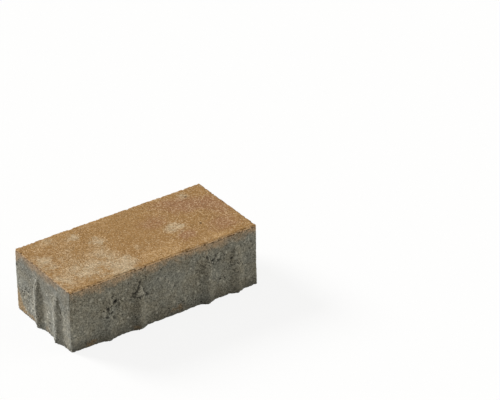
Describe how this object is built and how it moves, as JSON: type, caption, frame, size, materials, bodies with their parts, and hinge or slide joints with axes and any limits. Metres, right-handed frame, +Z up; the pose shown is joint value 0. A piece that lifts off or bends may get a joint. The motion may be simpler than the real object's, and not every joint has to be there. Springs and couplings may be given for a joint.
{
  "type": "concrete paving stone",
  "caption": "Rectangular concrete paving stone with a sandy ochre walking face, grey sides and upright interlocking ribs that keep the joints open.",
  "frame": {"origin": "middle of the bed face, at the bottom of the stone", "axes": "+X along the stone's length, +Y across its width, +Z up to the walking face"},
  "size_m": [0.204, 0.1, 0.062],
  "materials": {
    "concrete": "matte"
  },
  "bodies": {
    "root": {"paving_stone": "concrete"}
  },
  "joints": []
}
